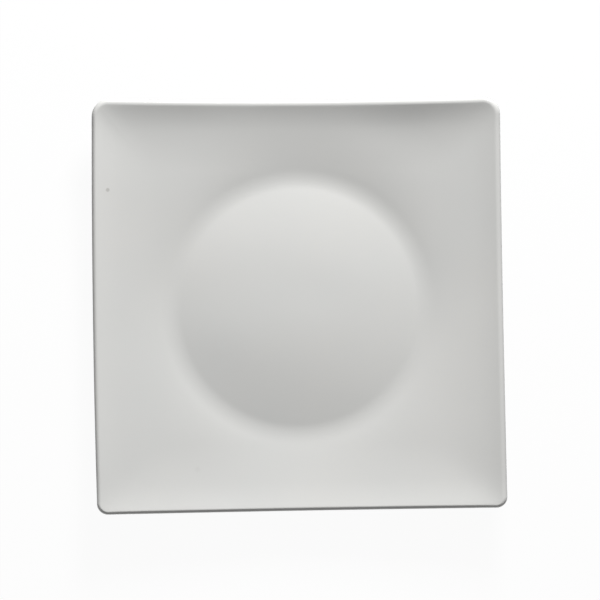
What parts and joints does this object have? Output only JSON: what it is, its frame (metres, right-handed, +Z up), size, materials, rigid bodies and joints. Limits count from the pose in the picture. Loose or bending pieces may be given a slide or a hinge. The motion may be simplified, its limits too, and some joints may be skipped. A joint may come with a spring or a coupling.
{
  "type": "square dinner plate",
  "caption": "Square glazed porcelain dinner plate with rounded corners, a crowned round centre, a rising rim with an upturned edge, and a round foot ring.",
  "frame": {"origin": "centre of the plate, on the surface that it rests on", "axes": "+Z up out of the eating side, +X to the right edge and +Y to the back edge of the pictured view"},
  "size_m": [0.2614, 0.2634, 0.0341],
  "materials": {
    "glaze": "glossy clear glaze over white porcelain",
    "clay_body": "fired white porcelain under glaze",
    "bare_foot": "bare fired porcelain, rubbed smooth",
    "slip": "fired porcelain slip under glaze"
  },
  "bodies": {
    "root": {"plate_body": "clay_body", "foot_ring": "bare_foot", "luting_slip": "slip", "main_glaze": "glaze", "recess_glaze": "glaze"}
  },
  "joints": []
}
